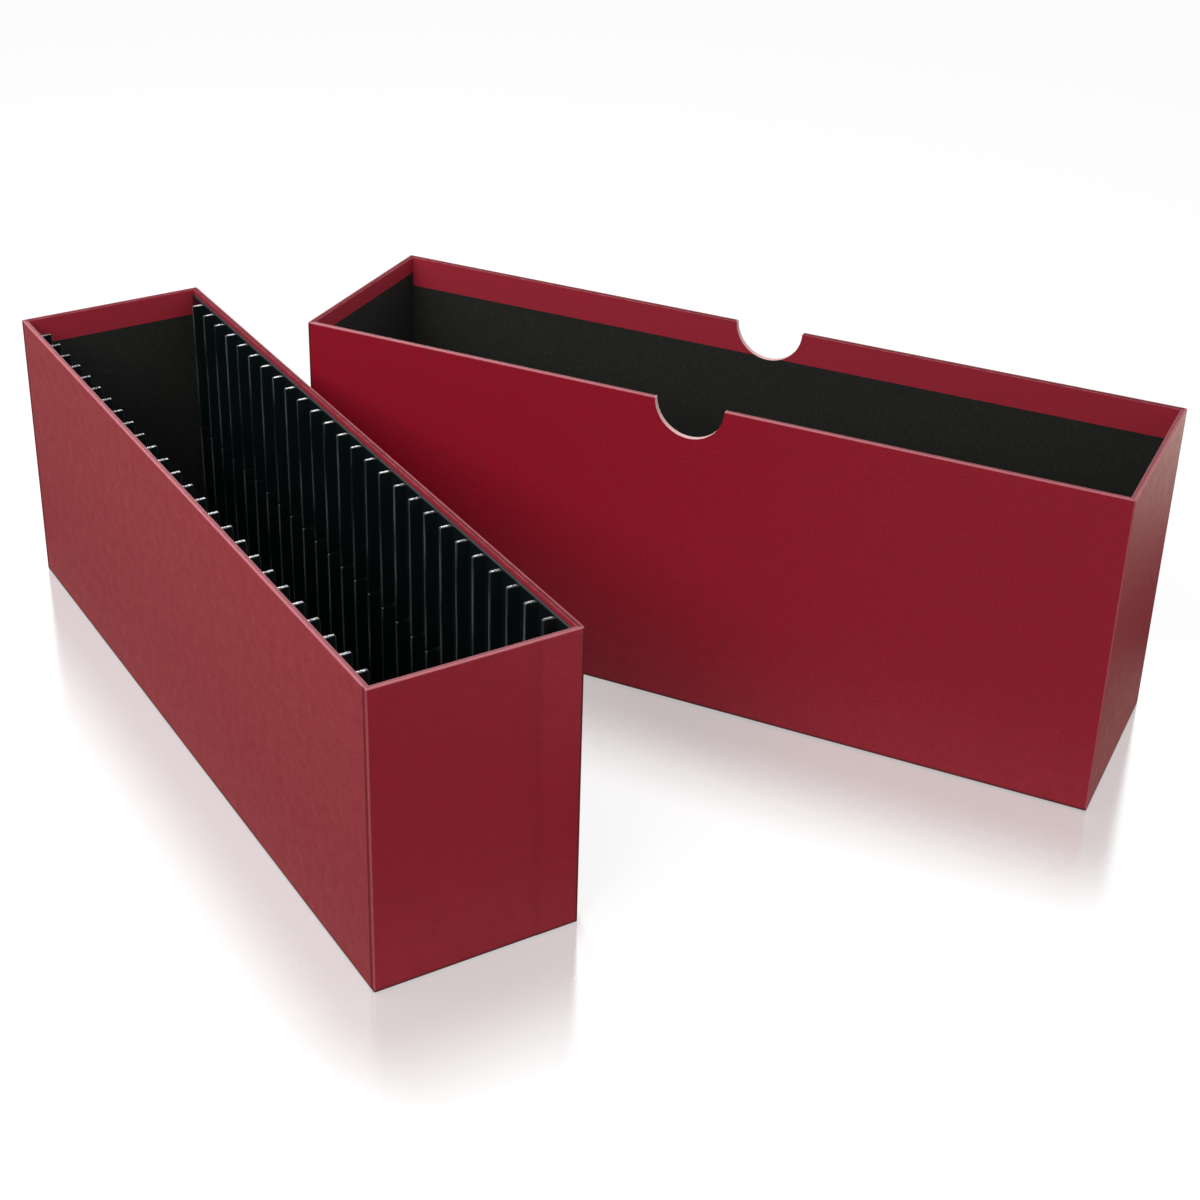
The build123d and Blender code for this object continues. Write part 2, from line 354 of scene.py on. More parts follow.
reach = fold_sum("MULTIPLY", given["Reach"], steps(fold_marks_group, patchy, 0.3, 0.7, 0.5, 1.4))
at_upright = steps(fold_marks_group, fold_sum("DIVIDE", to_upright, reach), *ridge_shares)
at_rim_fold = steps(fold_marks_group, fold_sum("DIVIDE", to_rim_fold, reach), *rim_fold_shares)

# The rims of each box's left and front walls are painted paler than the others, partly for rubbing and partly
# as painted light, and the other rims darker as painted shade. The corner between the left and front walls is
# paler too, partly rubbed and partly a painted highlight.
on_left = steps(fold_marks_group, xyz["X"], *past_middle)
on_front = steps(fold_marks_group, xyz["Y"], *past_middle)
left_front_corner = fold_sum("MULTIPLY", on_left, on_front)
along_side = fold_sum("LESS_THAN", from_side, from_end)
left_and_front_walls = put(fold_marks_group, "ShaderNodeMix", {0: along_side, 2: on_front, 3: on_left}).outputs[0]
on_rim = steps(fold_marks_group, from_rim, *rim_limits)
on_long_wall = steps(fold_marks_group, from_side, *wall_limits)
on_front_wall = fold_sum("MULTIPLY", steps(fold_marks_group, from_end, *wall_limits), on_front)
crease_line = fold_sum("MULTIPLY", given["Corner"], crease_from_corner)
from_crease = fold_sum("ABSOLUTE", fold_sum("SUBTRACT", from_end, crease_line))
from_seam = fold_sum("ABSOLUTE", fold_sum("SUBTRACT", xyz["X"], given["Seam"]))
masks = {
    # Paler on the rim folds: partly rubbed and partly a painted highlight.
    "Edge": fold_sum("MULTIPLY", at_rim_fold, steps(fold_marks_group, left_and_front_walls, 0.0, 1.0, 0.8, 1.0)),
    # Rims of the left and front walls paler, partly rubbed and partly painted light; the other rims painted
    # darker as shade.
    "Rim": fold_sum("MULTIPLY", on_rim, left_and_front_walls),
    "Far Rim": fold_sum("MULTIPLY", on_rim, fold_sum("SUBTRACT", 1.0, left_and_front_walls)),
    # The left front upright paler, partly rubbed and partly a painted highlight; the other three uprights
    # painted darker as shade.
    "Ridge": fold_sum("MULTIPLY", at_upright, left_front_corner),
    "Corner Shade": fold_sum("MULTIPLY", steps(fold_marks_group, to_upright, *corner_shade_limits), fold_sum("SUBTRACT", 1.0, left_front_corner)),
    # Painted shade along a line beside each corner of the long walls, where a crease would be shaded.
    "Crease": fold_sum("MULTIPLY", steps(fold_marks_group, from_crease, *crease_shade_limits), on_long_wall),
    # Painted shade in a band at the ramp of the lap's seam.
    "Seam": fold_sum("MULTIPLY", steps(fold_marks_group, from_seam, *seam_shade_limits), on_front_wall),
    # Painted shade along the foot, next to the floor.
    "Foot": steps(fold_marks_group, xyz["Z"], *foot_shade_limits),
    # Painted light on the band turned in inside the mouth.
    "Inside": steps(fold_marks_group, into_mouth, *mouth_limits)}
for title, mask in masks.items():
    feed(fold_marks_group, made[title], mask)

burgundy = (0.297, 0.006, 0.0224)
burgundy_deep = (0.248, 0.0045, 0.0176)
# The darkest burgundy is painted shade and the band's pink painted light; the rim tones and the rubbed pink
# stand partly for rubbing and partly for painted light and shade.
burgundy_shade = (0.04, 0.001, 0.003)
band_lit_pink = (0.6, 0.12, 0.16)
rim_mauve = (0.188, 0.038, 0.05)
rim_shade = (0.082, 0.001, 0.006)
rubbed_lit_pink = (0.46, 0.135, 0.16)
paper_shine = 0.35
matt_roughness = 0.95
grain_relief = 0.00006


def in_box(tree, place, stand):
    """Each point's place in its own box's frame."""
    centre, turn, _ = stand.decompose()
    put_back = {"Vector": place, "Location": centre, "Rotation": turn.to_euler()}
    return put(tree, "ShaderNodeMapping", put_back, vector_type="TEXTURE").outputs[0]


def burgundy_paper(name, stand, size, wall, creased, seam):
    """Leather-grained paper of one box: matt on the rim and in the folds, paler where they are rubbed and
    with painted highlight, with painted shade on the far rims and corners, the crease line, the seam and the
    foot, and painted light on the band inside the mouth."""
    finish, tree, place = new_finish(name)
    grain = use(tree, leather_grain, {"Place": place, "Pebble": pebble})
    fold_marks = use(tree, fold_marks_group, {"Place": in_box(tree, place, stand), "Half Width": size.x / 2,
                                 "Half Length": size.y / 2, "Height": size.z, "Wall": wall, "Seam": seam})
    mixed = math(tree, "MULTIPLY", math(tree, "ADD", grain["Mottle"], grain["Speckle"]), 0.5)
    tone = blend_colours(tree, mixed, burgundy_deep, burgundy)
    # The tone is painted: light on the band inside the mouth, paler rims and folds that are partly rubbed and
    # partly painted light, and shade on the far rims, the other uprights, the crease line, the seam and the
    # foot.
    for mask, share, colour in (("Inside", 0.12, band_lit_pink), ("Rim", 0.9, rim_mauve),
                                ("Far Rim", 0.9, rim_shade), ("Edge", 0.6, rubbed_lit_pink),
                                ("Ridge", 0.45, rubbed_lit_pink), ("Corner Shade", 0.72, burgundy_shade),
                                ("Crease", 0.5 * creased, burgundy_shade),
                                ("Seam", 0.1, burgundy_shade), ("Foot", 0.75, burgundy_shade)):
        tone = blend_colours(tree, math(tree, "MULTIPLY", fold_marks[mask], share), tone, colour)
    dulled = math(tree, "MULTIPLY", fold_marks["Rim"], 0.68)
    for mask, share in (("Crease", creased), ("Far Rim", 1.0), ("Corner Shade", 0.9)):
        dulled = math(tree, "MAXIMUM", dulled, math(tree, "MULTIPLY", fold_marks[mask], share))
    satin = steps(tree, mixed, 0.0, 1.0, 0.54, 0.38)
    roughness = math(tree, "MAXIMUM", satin, math(tree, "MULTIPLY", dulled, matt_roughness))
    surface(tree, grain["Height"], relief=grain_relief, base_color=tone, roughness=roughness,
            specular_ior_level=paper_shine)
    return finish


tray_stand = Matrix.Identity(4)
low, high = spans("tray_wall_wrap", tray_stand)
tray_size = Vector((high.x - low.x, high.y - low.y, high.z))
paper = low.z
lining_low, lining_high = spans("tray_wall_lining", tray_stand)
wall = (high.x - low.x - (lining_high - lining_low).x) / 2 + paper
tray_turn_in = high.z - lining_high.z
seam = tray_size.x / 2 - fold_radius - lap_width - lap_ramp / 2
tray_burgundy = burgundy_paper("burgundy leather paper of the tray", tray_stand, tray_size, wall,
                               creased=1.0, seam=seam)
tray_wrap = sleeve("tray_wrap", tray_stand, tray_size, wrap_section(tray_size, wall, paper, tray_turn_in),
                   tray_burgundy, lap=0)
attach(tray_wrap, "tray")
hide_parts("tray_wall_wrap")

# Tray's base sheet
# A second piece of the same paper, cut 3 mm short all round and pasted over the turned-under margins.
# It closes the underside that the tray stands on.

nodes["tray_base_sheet"].data.materials[0] = tray_burgundy

# Tray's linings
# Matt black paper: one strip round the walls up to the burgundy band, and one sheet on the floor. Both are
# pasted in before the rails. The sheet inside the cover's closed end is cut from the same paper.

lining_black = (0.012, 0.0123, 0.0117)
lining_fibre = (0.02, 0.0205, 0.0195)
lining_finish, tree, place = new_finish("matt black lining paper")
fibres = use(tree, paper_fibres, {"Place": place, "Fibre": 0.0011})
lining_colour = blend_colours(tree, fibres["Mask"], lining_black, lining_fibre)
surface(tree, fibres["Height"], relief=0.00008, base_color=lining_colour, roughness=0.85,
        specular_ior_level=0.25)

for name in ("tray_wall_lining", "tray_floor_lining", "cover_closed_end_lining"):
    nodes[name].data.materials[0] = lining_finish

# Rails
# One comb, moulded in glossy black plastic and used four times, two high on each long wall. A thin back panel
# is glued to the lining, and its upright ribs narrow to a round nose. The ribs' ends are level and crowned.

rail_low, rail_high = spans("left_rail", tray_stand)
rail_height = rail_high.z - rail_low.z
rib_count = 26
rib_pitch = (tray_size.y - 2 * wall) / (rib_count + 1)
panel = 0.001
panel_end_radius = 0.0004
rib_nose = rail_high.x - rail_low.x
rib_root_half = 0.0011
rib_root_radius = 0.0004
rib_nose_half = 0.00075
rib_nose_rise = 0.00025
rib_end_step = 0.0005
rib_end_radius = 0.0008
rib_end_crown = 0.00025
on_rib_from = 0.0001
panel_step = 0.0002


def quarter(count):
    """Sines and cosines at even steps of a quarter turn."""
    angles = [pi / 2 * j / count for j in range(count + 1)]
    return [(sin(angle), cos(angle)) for angle in angles]


def rib_plan():
    """Plan of one pitch of the comb, as places along the rail and distances from the wall."""
    root = [(-rib_pitch / 2, panel)]
    for sine, cosine in quarter(4):
        root.append((-rib_root_half - rib_root_radius * (1 - sine), panel + rib_root_radius * (1 - cosine)))
    nose_turns = 12
    angles = [pi * j / nose_turns for j in range(nose_turns + 1)]
    nose = [(-rib_nose_half * cos(a), rib_nose - rib_nose_rise * (1 - sin(a))) for a in angles]
    return root + nose + [(-along, out) for along, out in reversed(root)]


def end_depth(along, out):
    """How far a rib stops short of its rail's end: it is crowned, and rounds over at the nose."""
    depth = rib_end_step
    past = out - (rib_nose - rib_end_radius)
    if past > 0:
        depth += rib_end_radius - sqrt(max(rib_end_radius**2 - past**2, 0))
    return depth + rib_end_crown * (along / rib_root_half)**4


def end_section(along, out):
    """Upper half of the comb's section at one place, from its back over its end to its front. Between the
    ribs its points run down the panel, so that every section has as many."""
    points = [(0, 0)]
    for sine, cosine in quarter(3):
        points.append((panel - panel_end_radius * (1 - sine), panel_end_radius * (1 - cosine)))
    for j, share in enumerate((0.0, 0.25, 0.5, 0.75, 0.83, 0.89, 0.94, 0.98, 1.0)):
        x = panel + (out - panel) * share
        on_rib = out > panel + on_rib_from
        points.append((x, end_depth(along, x) if on_rib else panel_end_radius + panel_step * (j + 1)))
    return points


def section_loop(mesh, along, out):
    """The comb's whole section at one place, its lower end a mirror of its upper one."""
    half = [(x, rail_height / 2 - depth) for x, depth in end_section(along, out)]
    return [mesh.verts.new((x, along, z)) for x, z in half + [(x, -z) for x, z in reversed(half)]]


def bridge(mesh, first, second):
    """Faces between two sections of the comb."""
    for j in range(len(first)):
        k = (j + 1) % len(first)
        mesh.faces.new((first[j], second[j], second[k], first[k]))


def rib_module():
    """One pitch of the comb, open towards its neighbours."""
    mesh = bmesh.new()
    loops = [section_loop(mesh, along, out) for along, out in rib_plan()]
    for first, second in zip(loops, loops[1:]):
        bridge(mesh, first, second)
    bmesh.ops.remove_doubles(mesh, verts=mesh.verts, dist=1e-6)
    return mesh


def rail_tree():
    """Geometry nodes that repeat the rib's pitch along the rail and weld the copies into one comb."""
    tree = bpy.data.node_groups.new("comb of ribs", "GeometryNodeTree")
    tree.interface.new_socket("Geometry", in_out="INPUT", socket_type="NodeSocketGeometry")
    for title, kind in (("Rib", "NodeSocketObject"), ("Ribs", "NodeSocketInt"), ("Pitch", "NodeSocketFloat"),
                        ("Finish", "NodeSocketMaterial")):
        tree.interface.new_socket(title, in_out="INPUT", socket_type=kind)
    tree.interface.new_socket("Geometry", in_out="OUTPUT", socket_type="NodeSocketGeometry")
    given = put(tree, "NodeGroupInput").outputs
    gaps = put(tree, "ShaderNodeMath", {0: given["Ribs"], 1: 1.0}, operation="SUBTRACT")
    half = put(tree, "ShaderNodeMath", {0: gaps.outputs[0], 1: -0.5}, operation="MULTIPLY")
    first = put(tree, "ShaderNodeMath", {0: half.outputs[0], 1: given["Pitch"]}, operation="MULTIPLY")
    start = put(tree, "ShaderNodeCombineXYZ", {"Y": first.outputs[0]})
    stride = put(tree, "ShaderNodeCombineXYZ", {"Y": given["Pitch"]})
    row = put(tree, "GeometryNodeMeshLine",
              {"Count": given["Ribs"], "Start Location": start.outputs[0], "Offset": stride.outputs[0]})
    rib = put(tree, "GeometryNodeObjectInfo", {"Object": given["Rib"]})
    copies = put(tree, "GeometryNodeInstanceOnPoints",
                 {"Points": row.outputs[0], "Instance": rib.outputs["Geometry"]})
    real = put(tree, "GeometryNodeRealizeInstances", {"Geometry": copies.outputs[0]})
    joined = put(tree, "GeometryNodeJoinGeometry", {"Geometry": real.outputs[0]})
    tree.links.new(given["Geometry"], joined.inputs[0])
    welded = put(tree, "GeometryNodeMergeByDistance", {"Geometry": joined.outputs[0], "Distance": 2e-6})
    whole = put(tree, "GeometryNodeRealizeInstances", {"Geometry": welded.outputs[0]})
    painted = put(tree, "GeometryNodeSetMaterial",
                  {"Geometry": whole.outputs[0], "Material": given["Finish"]})
    put(tree, "NodeGroupOutput", {"Geometry": painted.outputs[0]})
    return tree


def rail_end(mesh, edge, end):
    """Plain stretch of panel between the last rib's pitch and the rail's end, closed at its far side."""
    last = section_loop(mesh, end, panel)
    bridge(mesh, section_loop(mesh, edge, panel), last)
    mesh.faces.new(last)


rail_black = (0.005, 0.0085, 0.0095)
nose_highlight_grey = (0.07, 0.09, 0.09)
rail_relief = 0.00018
panel_dullness = 0.45
joint_ripple = 0.25
gloss_range = (0.08, 0.17)
streak_stretch = (1.0, 1.0, 0.06)

# Where the painted highlight on the nose, the finish of the top, the joint of two rails and the panel begins
# and where it is full, in metres from each.
nose_limits = (0.0005, 0.00015)
top_limits = (0.0016, 0.0009)
joint_limits = (0.0022, 0.0014)
panel_limits = (0.0002, 0.0)

rail_finish, tree, place = new_finish("glossy black moulding")
ripple = noise(tree, place, scale=950.0, detail=2.0)
haze = noise(tree, place, scale=60.0, detail=5.0)
drawn_out = put(tree, "ShaderNodeVectorMath", {0: place, 1: streak_stretch}, operation="MULTIPLY")
streaks = noise(tree, drawn_out.outputs[0], scale=500.0, detail=4.0)
spot = put(tree, "ShaderNodeSeparateXYZ", {"Vector": place}).outputs
off_middle = math(tree, "ABSOLUTE", spot["X"])
back_plane = abs(rail_low.x)
nose_plane = back_plane - rib_nose
panel_plane = back_plane - panel
at_nose = steps(tree, off_middle, nose_plane + nose_limits[0], nose_plane + nose_limits[1])
# The noses are painted grey in streaks, a painted highlight for the glints that run down them.
nose_highlight = math(tree, "MULTIPLY", at_nose, steps(tree, streaks, 0.4, 0.65))
at_top = steps(tree, spot["Z"], rail_high.z - top_limits[0], rail_high.z - top_limits[1])
on_panel = steps(tree, off_middle, panel_plane - panel_limits[0], panel_plane - panel_limits[1])
dull = math(tree, "MULTIPLY", math(tree, "MULTIPLY", on_panel, at_top), panel_dullness)
gloss = math(tree, "MAXIMUM", steps(tree, haze, 0.3, 0.7, *gloss_range), dull)
off_joint = math(tree, "ABSOLUTE", math(tree, "SUBTRACT", spot["Z"], rail_low.z))
at_ends = math(tree, "MAXIMUM", at_top, steps(tree, off_joint, *joint_limits, 0.0, joint_ripple))
beaded = math(tree, "MULTIPLY", ripple, steps(tree, at_ends, 0.0, 1.0, 0.25, 1.0))
rail_colour = blend_colours(tree, nose_highlight, rail_black, nose_highlight_grey)
surface(tree, beaded, relief=rail_relief, base_color=rail_colour, roughness=gloss)

rib_object = new_piece("rib_pitch", rib_module(), rail_finish)
comb_tree = rail_tree()
rail_half = (rail_high.y - rail_low.y) / 2


def comb(name, side, middle):
    """One whole rail, welded from its repeated ribs and its two plain ends, with its middle at a height."""
    mesh = bmesh.new()
    edge = rib_pitch * rib_count / 2
    rail_end(mesh, edge, rail_half)
    rail_end(mesh, -edge, -rail_half)
    ends = new_piece(name + "_ends", mesh, rail_finish)
    repeat = ends.modifiers.new("ribs", "NODES")
    repeat.node_group = comb_tree
    values = {"Rib": rib_object, "Ribs": rib_count, "Pitch": rib_pitch, "Finish": rail_finish}
    for item in comb_tree.interface.items_tree:
        if item.in_out == "INPUT" and item.name in values:
            repeat[item.identifier] = values[item.name]
    bpy.context.view_layer.update()
    graph = bpy.context.evaluated_depsgraph_get()
    data = bpy.data.meshes.new_from_object(ends.evaluated_get(graph))
    bpy.data.objects.remove(ends)
    turned = Matrix.Diagonal((-side, 1, 1, 1))
    back = rail_low.x if side < 0 else -rail_low.x
    data.transform(Matrix.Translation((back, 0, middle)) @ turned)
    mesh = bmesh.new()
    mesh.from_mesh(data)
    return new_piece(name, mesh, rail_finish)


for name in ("left_rail", "left_lower_rail", "right_rail", "right_lower_rail"):
    low, high = spans(name, tray_stand)
    rail = comb(name + "_comb", -1 if high.x < 0 else 1, (low.z + high.z) / 2)
    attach(rail, "tray")
    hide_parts(name)
bpy.data.objects.remove(rib_object)

# Cover's wall wrap
# The same leather-grained paper as the tray's, a size larger, with its lap on the left end wall and shorter
# flaps turned in over its two ends. The thumb notches are punched through both long walls after wrapping, so
# the cut shows the pale core all round.

sheet = [vertex.co for vertex in nodes["cover_closed_end_sheet"].data.vertices]
short_edge = max(sheet, key=lambda corner: corner.x) - min(sheet, key=lambda corner: corner.y)
cover_turn = atan2(short_edge.y, short_edge.x)
cover_foot = next(m["pos_m"] for m in frame["record"]["mounts"] if m["name"] == "cover_base")
cover_stand = Matrix.Translation(cover_foot) @ Matrix.Rotation(cover_turn, 4, "Z")
low, high = spans("cover_wall_wrap", cover_stand)
cover_size = Vector((high.x - low.x, high.y - low.y, high.z))
cover_turn_in = high.z - spans("cover_wall_lining", cover_stand)[1].z
end_flap_rise = 0.007
notch_radius = 0.01625
notch_lip = 0.0004
above_rim = 0.003

cut_pale = (0.64, 0.39, 0.39)
cut_dark = (0.5, 0.27, 0.28)
cut_finish, tree, place = new_finish("punched edge")
fibres = use(tree, paper_fibres, {"Place": place, "Fibre": 0.0006})
cut_colour = blend_colours(tree, fibres["Mask"], cut_pale, cut_dark)
surface(tree, fibres["Height"], relief=0.0001, base_color=cut_colour, roughness=0.85,
        specular_ior_level=0.3)


def notch_outline():
    """Half-round notch with eased lips, as places along the wall and heights from the rim."""
    away = notch_radius + notch_lip
    lip_across = sqrt(away**2 - notch_lip**2)
    touch = atan2(notch_lip, lip_across)
    lip_turns = 8
    notch_turns = 96
    points = [(lip_across, above_rim)]
    for j in range(lip_turns + 1):
        a = pi / 2 + (pi / 2 + touch) * j / lip_turns
        points.append((lip_across + notch_lip * cos(a), -notch_lip + notch_lip * sin(a)))
    for j in range(notch_turns + 1):
        a = -touch - (pi - 2 * touch) * j / notch_turns
        points.append((notch_radius * cos(a), notch_radius * sin(a)))
    for j in range(lip_turns + 1):
        a = -touch + (pi / 2 + touch) * j / lip_turns
        points.append((-lip_across + notch_lip * cos(a), -notch_lip + notch_lip * sin(a)))
    points.append((-lip_across, above_rim))
    return points


def punch(piece):
    """Punches both thumb notches out of a piece of the cover, in one stroke through both walls."""
    mesh = bmesh.new()
    sides = []
    for across in (-cover_size.x, cover_size.x):
        sides.append([mesh.verts.new(cover_stand @ Vector((across, along, cover_size.z + height)))
                      for along, height in notch_outline()])
    for j in range(len(sides[0])):
        k = (j + 1) % len(sides[0])
        mesh.faces.new((sides[0][j], sides[0][k], sides[1][k], sides[1][j]))
    mesh.faces.new(sides[0])
    mesh.faces.new(sides[1])
    tool = new_piece("notch_punch", mesh, cut_finish)
    stroke = piece.modifiers.new("punch", "BOOLEAN")
    stroke.operation = "DIFFERENCE"
    stroke.solver = "EXACT"
    stroke.material_mode = "TRANSFER"
    stroke.object = tool
    bpy.context.view_layer.update()
    graph = bpy.context.evaluated_depsgraph_get()
    cut = bpy.data.meshes.new_from_object(piece.evaluated_get(graph))
    piece.modifiers.clear()
    piece.data = cut
    piece.data.set_sharp_from_angle(angle=crease_angle)
    bpy.data.objects.remove(tool)
    return piece


cover_burgundy = burgundy_paper("burgundy leather paper of the cover", cover_stand, cover_size, wall,
                                creased=0.0, seam=no_seam)
cover_wrap = punch(sleeve("cover_wrap", cover_stand, cover_size,
                          wrap_section(cover_size, wall, paper, cover_turn_in), cover_burgundy, lap=2,
                          raised=cover_size.z - cover_turn_in, rise=end_flap_rise))
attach(cover_wrap, "cover")
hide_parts("cover_wall_wrap")

# Cover's closed-end sheet
# Burgundy paper pasted over the turned-under margins. It is the cover's underside here, and the top of the
# closed box when the cover is turned over.

nodes["cover_closed_end_sheet"].data.materials[0] = cover_burgundy

# Cover's wall lining
# Black paper round the inside, up to the burgundy band and 7 mm higher on the two end walls, where the
# band is shorter. It is punched with the walls.

low, high = spans("cover_wall_lining", cover_stand)
lining_back = wall - paper
section = [(inset, height, 0.0, 0.0) for inset, height in
           ((lining_back, low.z), (lining_back, high.z), (wall, high.z), (wall, low.z))]
cover_lining = punch(sleeve("cover_lining", cover_stand, cover_size, section, lining_finish,
                            raised=high.z, rise=end_flap_rise))
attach(cover_lining, "cover")
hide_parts("cover_wall_lining")

# Floor
# A plain white table top with a faint polish: it mirrors the foot of each box, and the mirror image fades
# a hand's breadth away from the walls.

floor_half = 6.0
mirror_share = 0.5
mirror_holds = 0.015
mirror_reach = 0.085
tray_narrowed = 1.7
tray_mirror = 0.84
cover_mirror_near = 0.6
soft_edge = 0.004
line_slope = 0.57
white_glow = 0.815
gloss_far = 2.2
gloss_left = 0.46
gloss_front = 0.8
gloss_right = 0.09
gloss_foot = 0.4
floor_mesh = bmesh.new()
bmesh.ops.create_grid(floor_mesh, x_segments=1, y_segments=1, size=floor_half)
floor_finish, tree, place = new_finish("polished white floor")


def near_box(stand, size, narrowed):
    """How near a point of the floor is to one box, from 1 at its wall to 0 at the mirror's reach."""
    xyz = put(tree, "ShaderNodeSeparateXYZ", {"Vector": in_box(tree, place, stand)}).outputs
    past = [math(tree, "MAXIMUM", math(tree, "SUBTRACT", math(tree, "ABSOLUTE", xyz[axis]), half), 0.0)
            for axis, half in (("X", size.x / 2), ("Y", size.y / 2))]
    squares = [math(tree, "POWER", math(tree, "MULTIPLY", past[0], narrowed), 2.0),
               math(tree, "POWER", past[1], 2.0)]
    away = math(tree, "SQRT", math(tree, "ADD", *squares))
    fade = {"Value": away, "From Min": mirror_holds, "From Max": mirror_reach, "To Min": 1.0, "To Max": 0.0}
    return put(tree, "ShaderNodeMapRange", fade, interpolation_type="SMOOTHSTEP").outputs[0]


# The tray's mirror image shows left of its right wall and of a line that slants away from its front right
# corner. The cover's is weaker near the tray.
x, y, _ = put(tree, "ShaderNodeSeparateXYZ", {"Vector": place}).outputs
by_tray = near_box(tray_stand, tray_size, tray_narrowed)
by_cover = near_box(cover_stand, cover_size, 1.0)
right_wall = tray_size.x / 2
line_start = right_wall + line_slope * tray_size.y / 2
left_of_wall = steps(tree, x, right_wall + soft_edge, right_wall, 0.0, tray_mirror)
slanted = math(tree, "ADD", x, math(tree, "MULTIPLY", y, -line_slope))
left_of_line = steps(tree, slanted, line_start + soft_edge, line_start)
in_tray = math(tree, "MULTIPLY", by_tray, math(tree, "MULTIPLY", left_of_wall, left_of_line))
in_cover = math(tree, "MULTIPLY", by_cover, steps(tree, x, 0.06, 0.16, cover_mirror_near, 1.0))
mirror = math(tree, "MULTIPLY", math(tree, "MAXIMUM", in_tray, in_cover), mirror_share)

# The camera sees an even white under the polish, whose fine ripple blurs the mirror image.
rays = put(tree, "ShaderNodeLightPath").outputs
seen_matt = steps(tree, rays["Is Camera Ray"], 0.0, 1.0, 0.4, 0.2)
matt = put(tree, "ShaderNodeBsdfDiffuse", {"Color": seen_matt})
glow = put(tree, "ShaderNodeEmission",
           {"Color": (1, 1, 1, 1), "Strength": math(tree, "MULTIPLY", rays["Is Camera Ray"], white_glow)})
white = put(tree, "ShaderNodeAddShader", {0: matt.outputs[0], 1: glow.outputs[0]})
orange_peel = noise(tree, place, scale=1500.0, detail=2.0)
uneven = put(tree, "ShaderNodeBump", {"Height": orange_peel, "Distance": 0.00003, "Strength": 1.0})
polish = put(tree, "ShaderNodeBsdfGlossy",
             {"Color": (1, 1, 1, 1), "Roughness": 0.0, "Normal": uneven.outputs["Normal"]})
polished = put(tree, "ShaderNodeMixShader", {0: mirror, 1: white.outputs[0], 2: polish.outputs[0]})

# The boxes' own gloss sees the floor dark, but for brighter zones at the far right, left, front, right and
# round the boxes' feet, where the floor glows for glossy rays only as a painted reflection.
far_zone = math(tree, "MULTIPLY", steps(tree, x, 0.5, 0.75, 0.0, gloss_far), steps(tree, y, -0.4, -0.25))
left_zone = math(tree, "MULTIPLY", steps(tree, x, -0.12, 0.03, gloss_left, 0.0),
                 steps(tree, y, -0.32, -0.18, 0.1, 1.0))
front_zone = math(tree, "MULTIPLY", steps(tree, x, 0.06, 0.14, 0.0, gloss_front),
                  steps(tree, y, -0.29, -0.34))
right_zone = steps(tree, x, 0.2, 0.32, 0.0, gloss_right)
foot_zone = math(tree, "MULTIPLY", math(tree, "MAXIMUM", by_tray, by_cover), gloss_foot)
in_gloss = far_zone
for zone in (left_zone, right_zone, front_zone, foot_zone):
    in_gloss = math(tree, "MAXIMUM", in_gloss, zone)
seen_in_gloss = put(tree, "ShaderNodeEmission", {"Color": (1, 0.96, 0.82, 1), "Strength": in_gloss})
floor_surface = put(tree, "ShaderNodeMixShader",
                    {0: rays["Is Glossy Ray"], 1: polished.outputs[0], 2: seen_in_gloss.outputs[0]})
put(tree, "ShaderNodeOutputMaterial", {"Surface": floor_surface.outputs[0]})
floor = new_piece("floor", floor_mesh, floor_finish)

# Studio light
# A white surround that is brightest overhead and on the right, soft boxes at the left, above and in front,
# and one behind for the glints on the rails. The camera and the floor's polish see the surround plain white.

backdrop_white = 1.1
overhead = 0.42
overhead_power = 6.0

world = bpy.data.worlds.new("white surround")
bpy.context.scene.world = world
world.use_nodes = True
tree = world.node_tree
tree.nodes.clear()
towards = put(tree, "ShaderNodeTexCoord").outputs["Generated"]
xyz = put(tree, "ShaderNodeSeparateXYZ", {"Vector": towards}).outputs
skyward = math(tree, "MAXIMUM", xyz["Z"], 0.0)
around = math(tree, "MULTIPLY", math(tree, "POWER", skyward, overhead_power), overhead)
for axis, sign, strength in (("Z", 1, 0.4), ("X", 1, 1.0), ("Y", -1, 0.15), ("Y", 1, 0.1)):
    facing = math(tree, "MAXIMUM", math(tree, "MULTIPLY", xyz[axis], sign), 0.0)
    around = math(tree, "ADD", around, math(tree, "MULTIPLY", facing, strength))
rays = put(tree, "ShaderNodeLightPath").outputs
seen = math(tree, "MAXIMUM", rays["Is Camera Ray"], rays["Is Singular Ray"])
unseen = math(tree, "SUBTRACT", 1.0, seen)
plain_white = math(tree, "MULTIPLY", seen, backdrop_white)
shown = math(tree, "ADD", plain_white, math(tree, "MULTIPLY", unseen, around))
backdrop = put(tree, "ShaderNodeBackground", {"Color": (1, 1, 1, 1), "Strength": shown})
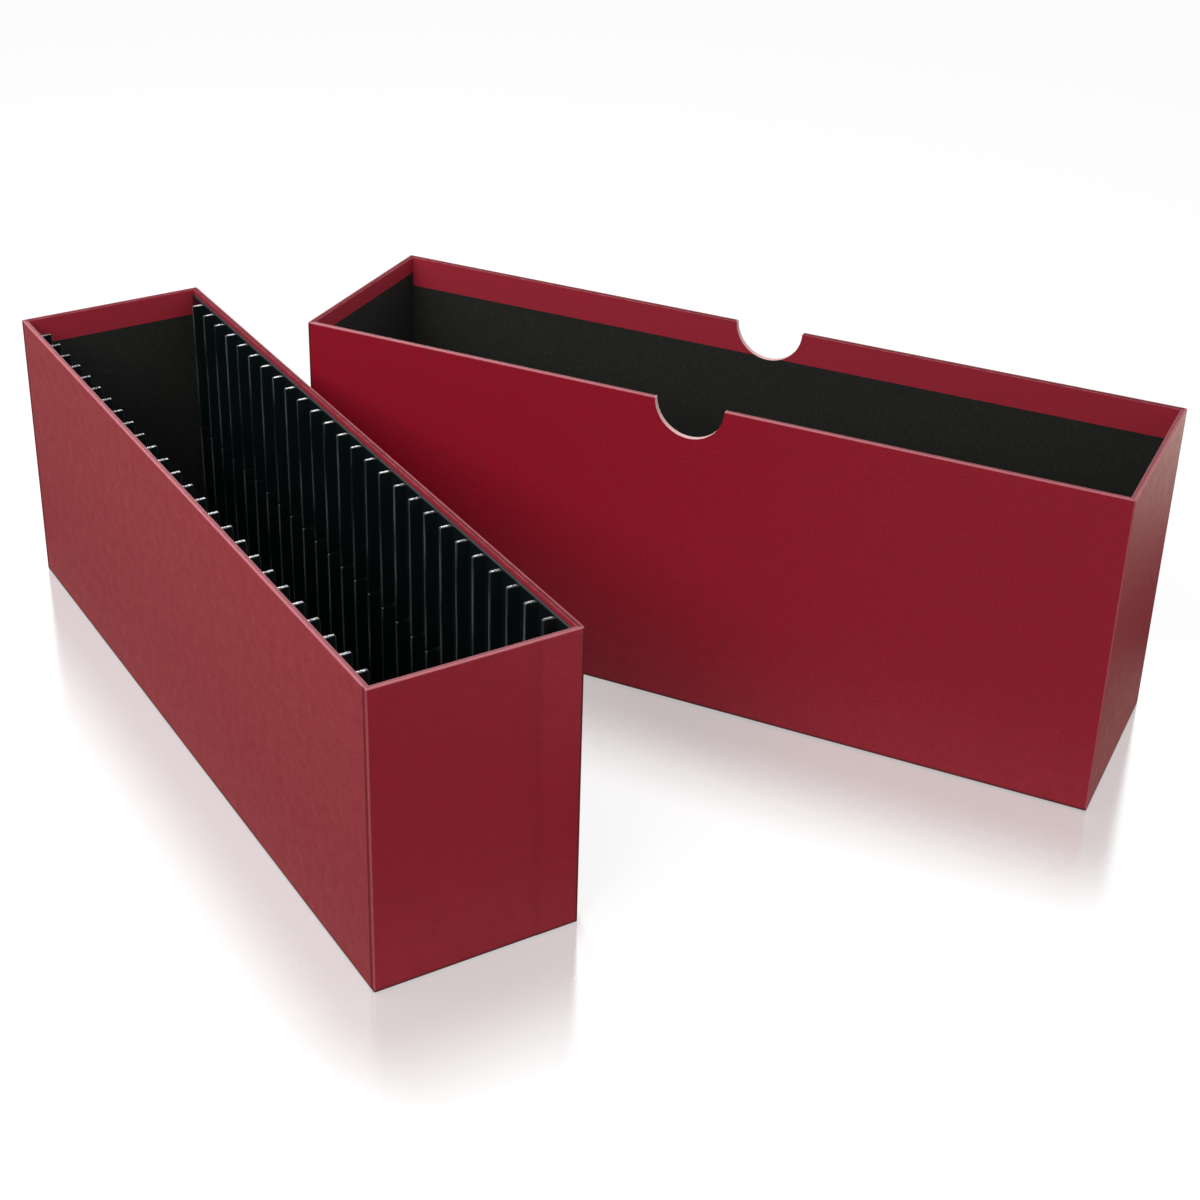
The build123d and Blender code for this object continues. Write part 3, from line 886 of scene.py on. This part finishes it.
put(tree, "ShaderNodeOutputWorld", {"Surface": backdrop.outputs[0]})


def soft_box(name, place, wide, tall, power):
    """A soft box that faces the middle of the object."""
    lamp = bpy.data.lights.new(name, "AREA")
    lamp.shape = "RECTANGLE"
    lamp.size = wide
    lamp.size_y = tall
    lamp.energy = power
    box = bpy.data.objects.new(name, lamp)
    bpy.context.scene.collection.objects.link(box)
    middle = (cad_box[0] + cad_box[1]) / 2
    box.location = place
    box.rotation_euler = (Vector(place) - middle).to_track_quat("Z", "Y").to_euler()
    return box


warm = soft_box("left", place=(-1.25, -0.83, 1.25), wide=0.9, tall=0.9, power=15.0)
warm.data.color = (1.0, 0.98, 0.9)
soft_box("near_left", place=(-0.35, -0.02, 0.62), wide=0.5, tall=0.5, power=1.3)
soft_box("near_middle", place=(-0.12, 0.3, 0.62), wide=0.8, tall=0.8, power=3.3)
soft_box("front", place=(0.3, -1.8, 0.9), wide=1.0, tall=1.0, power=3.1)
glint = soft_box("glint", place=(0.78, 1.63, 1.01), wide=0.5, tall=0.5, power=10.0)
glint.visible_diffuse = False

bpy.context.scene.view_settings.view_transform = "Standard"

# Camera
# A long lens about 0.55 m above the table, 0.6 m in front of the tray and a little to its left. It looks down
# at 29 degrees and is turned 30 degrees to the right.

camera_place = Vector((-0.3208, -0.7782, 0.5506))
heading = radians(30.38)
pitch = radians(28.574)
roll = radians(0.892)
forward = Vector((sin(heading) * cos(pitch), cos(heading) * cos(pitch), -sin(pitch)))
level = Vector((cos(heading), -sin(heading), 0))
upward = level.cross(forward)
across = cos(roll) * level + sin(roll) * upward
above = -sin(roll) * level + cos(roll) * upward
lens = bpy.data.cameras.new("camera")
lens.sensor_width = 36.0
lens.lens = 65.69
lens.shift_x = 0.05
lens.shift_y = -0.05
lens.clip_end = 50.0
camera = bpy.data.objects.new("camera", lens)
bpy.context.scene.collection.objects.link(camera)
camera_turn = Matrix((across, above, -forward)).transposed().to_4x4()
camera.matrix_world = Matrix.Translation(camera_place) @ camera_turn
bpy.context.scene.camera = camera
